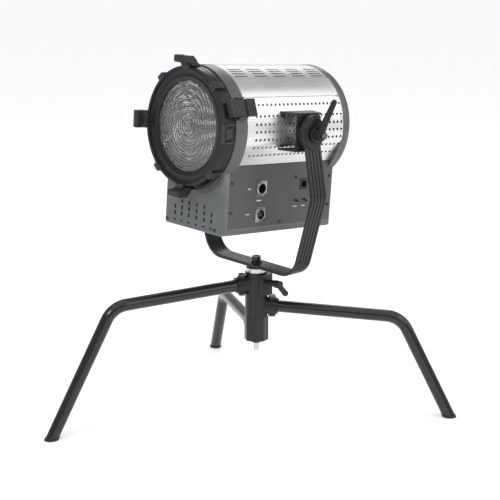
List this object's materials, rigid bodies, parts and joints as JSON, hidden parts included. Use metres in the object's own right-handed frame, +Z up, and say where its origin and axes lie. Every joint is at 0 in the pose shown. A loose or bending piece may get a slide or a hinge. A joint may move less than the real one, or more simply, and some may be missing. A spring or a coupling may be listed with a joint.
{
  "type": "fresnel spotlight",
  "caption": "Studio fresnel spotlight with a stepped lens and perforated barrel, in a tilting yoke that pans on a low three-leg turtle base.",
  "frame": {"origin": "middle of the footprint's box, on the floor", "axes": "+Z up; the lamp shines along -Y, tilted 4.7 degrees up; +X towards the side with the sockets; the pan axis is vertical"},
  "size_m": [0.6952, 0.7154, 0.7604],
  "materials": {
    "leg_black": "gloss powder coat",
    "casting_black": "satin textured paint",
    "rubber_black": "matt",
    "zinc_steel": "bright zinc",
    "bolt_black": "black oxide",
    "ring_grey": "satin paint",
    "yoke_grey": "fine satin paint",
    "silver_skin": "brushed, clear anodised",
    "top_skin": "satin anodised",
    "housing_grey": "fine hammered paint",
    "panel_grey": "fine matt paint",
    "bezel_black": "satin paint on die casting",
    "lens_glass": "clear pressed glass",
    "panel_black": "moulded",
    "socket_nickel": "nickel plated",
    "heat_alloy": "mill finish",
    "led_yellow": "phosphor and reflector",
    "board_green": "solder mask",
    "display_glass": "dark window",
    "rocker_red": "moulded"
  },
  "bodies": {
    "base": {"top_casting": "casting_black", "top_leg": "leg_black", "top_foot": "rubber_black", "top_leg_bolt": "bolt_black", "swivel_post": "zinc_steel", "tie_rod": "zinc_steel", "tie_nut": "bolt_black"},
    "middle_leg": {"middle_casting": "casting_black", "middle_leg": "leg_black", "middle_foot": "rubber_black", "middle_leg_bolt": "bolt_black"},
    "lower_leg": {"lower_casting": "casting_black", "lower_leg": "leg_black", "lower_foot": "rubber_black", "lower_leg_bolt": "bolt_black"},
    "clamp_lever": {"spigot_lever": "casting_black"},
    "yoke": {"spigot": "zinc_steel", "yoke": "yoke_grey", "yoke_bosses": "yoke_grey", "yoke_bolt": "bolt_black", "yoke_washer": "casting_black"},
    "tilt_lever": {"tilt_lever": "yoke_grey", "lever_screw": "bolt_black"},
    "head": {"side_brackets": "yoke_grey", "pivot_bolts": "zinc_steel", "friction_discs": "rubber_black", "pivot_cap": "yoke_grey", "barrel_shell": "silver_skin", "top_vent_panel": "top_skin", "front_collar": "ring_grey", "front_bezel": "bezel_black", "accessory_ears": "bezel_black", "latch_bracket": "bezel_black", "fresnel_lens": "lens_glass", "rear_ring": "ring_grey", "rear_panel": "panel_black", "lower_housing": "housing_grey", "rear_wall": "housing_grey", "right_panel": "panel_grey", "left_panel": "panel_grey", "panel_screws": "panel_black", "xlr_in": "socket_nickel", "xlr_out": "socket_nickel", "data_port": "panel_black", "focus_rails": "zinc_steel", "power_supply": "heat_alloy", "control_board": "board_green", "display": "display_glass", "power_inlet": "panel_black"},
    "latch": {"accessory_latch": "bezel_black"},
    "toggle_front": {"toggle_front": "panel_black"},
    "toggle_rear": {"toggle_rear": "panel_black"},
    "carriage": {"carriage": "heat_alloy", "led_module": "led_yellow", "heat_sink": "heat_alloy", "cooling_fan": "panel_black"},
    "focus_drive": {"lead_screw": "zinc_steel", "focus_knob": "panel_black"},
    "dimmer": {"dimmer_knob": "panel_black"},
    "rocker": {"power_switch": "rocker_red"}
  },
  "joints": [
    {"name": "middle_leg_swivel", "type": "hinge", "parent": "base", "child": "middle_leg", "pos_m": [0.02374, 0.07926, 0.2289], "axis": [0, 0, 1], "range_deg": [-137, 0]},
    {"name": "lower_leg_swivel", "type": "hinge", "parent": "base", "child": "lower_leg", "pos_m": [0.02374, 0.07926, 0.1804], "axis": [0, 0, 1], "range_deg": [0, 87]},
    {"name": "clamp_turn", "type": "hinge", "parent": "base", "child": "clamp_lever", "pos_m": [0.02374, 0.07926, 0.283], "axis": [0.9945, 0.1045, 0], "range_deg": [-110, 0]},
    {"name": "pan", "type": "hinge", "parent": "base", "child": "yoke", "pos_m": [0.02374, 0.07926, 0.3], "axis": [0, 0, 1], "continuous": true},
    {"name": "tilt", "type": "hinge", "parent": "yoke", "child": "head", "pos_m": [0.02374, 0.07926, 0.608], "axis": [1, 0, 0], "range_deg": [-85.3, 94.7]},
    {"name": "tilt_lock", "type": "hinge", "parent": "yoke", "child": "tilt_lever", "pos_m": [0.02374, 0.07926, 0.608], "axis": [1, 0, 0], "range_deg": [0, 120]},
    {"name": "latch_press", "type": "hinge", "parent": "head", "child": "latch", "pos_m": [0.14057, -0.06637, 0.66733], "axis": [-0.3746, 0.076, 0.9241], "range_deg": [0, 12], "stiffness_Nm_per_rad": 0.6, "springref_deg": -6.88},
    {"name": "focus_slide", "type": "slide", "parent": "head", "child": "carriage", "axis": [0, -0.9966, 0.0819], "range_m": [0, 0.06]},
    {"name": "focus_turn", "type": "hinge", "parent": "head", "child": "focus_drive", "pos_m": [0.02374, 0.22285, 0.52395], "axis": [0, 0.9966, -0.0819], "range_deg": [0, 1080]},
    {"name": "dimmer_turn", "type": "hinge", "parent": "head", "child": "dimmer", "pos_m": [0.06774, 0.23154, 0.6296], "axis": [0, 0.9966, -0.0819], "range_deg": [0, 270]},
    {"name": "power_rock", "type": "hinge", "parent": "head", "child": "rocker", "pos_m": [0.04574, 0.206, 0.44707], "axis": [1, 0, 0], "range_deg": [0, 12]},
    {"name": "toggle_front_flip", "type": "hinge", "parent": "head", "child": "toggle_front", "pos_m": [0.11104, 0.10537, 0.46187], "axis": [0, 0.9966, -0.0819], "range_deg": [-24, 0]},
    {"name": "toggle_rear_flip", "type": "hinge", "parent": "head", "child": "toggle_rear", "pos_m": [0.11104, 0.1283, 0.45998], "axis": [0, 0.9966, -0.0819], "range_deg": [-24, 0]}
  ],
  "couplings": [
    {"joint": "focus_turn", "follows": "focus_slide", "rad_per_m": 314.16}
  ]
}
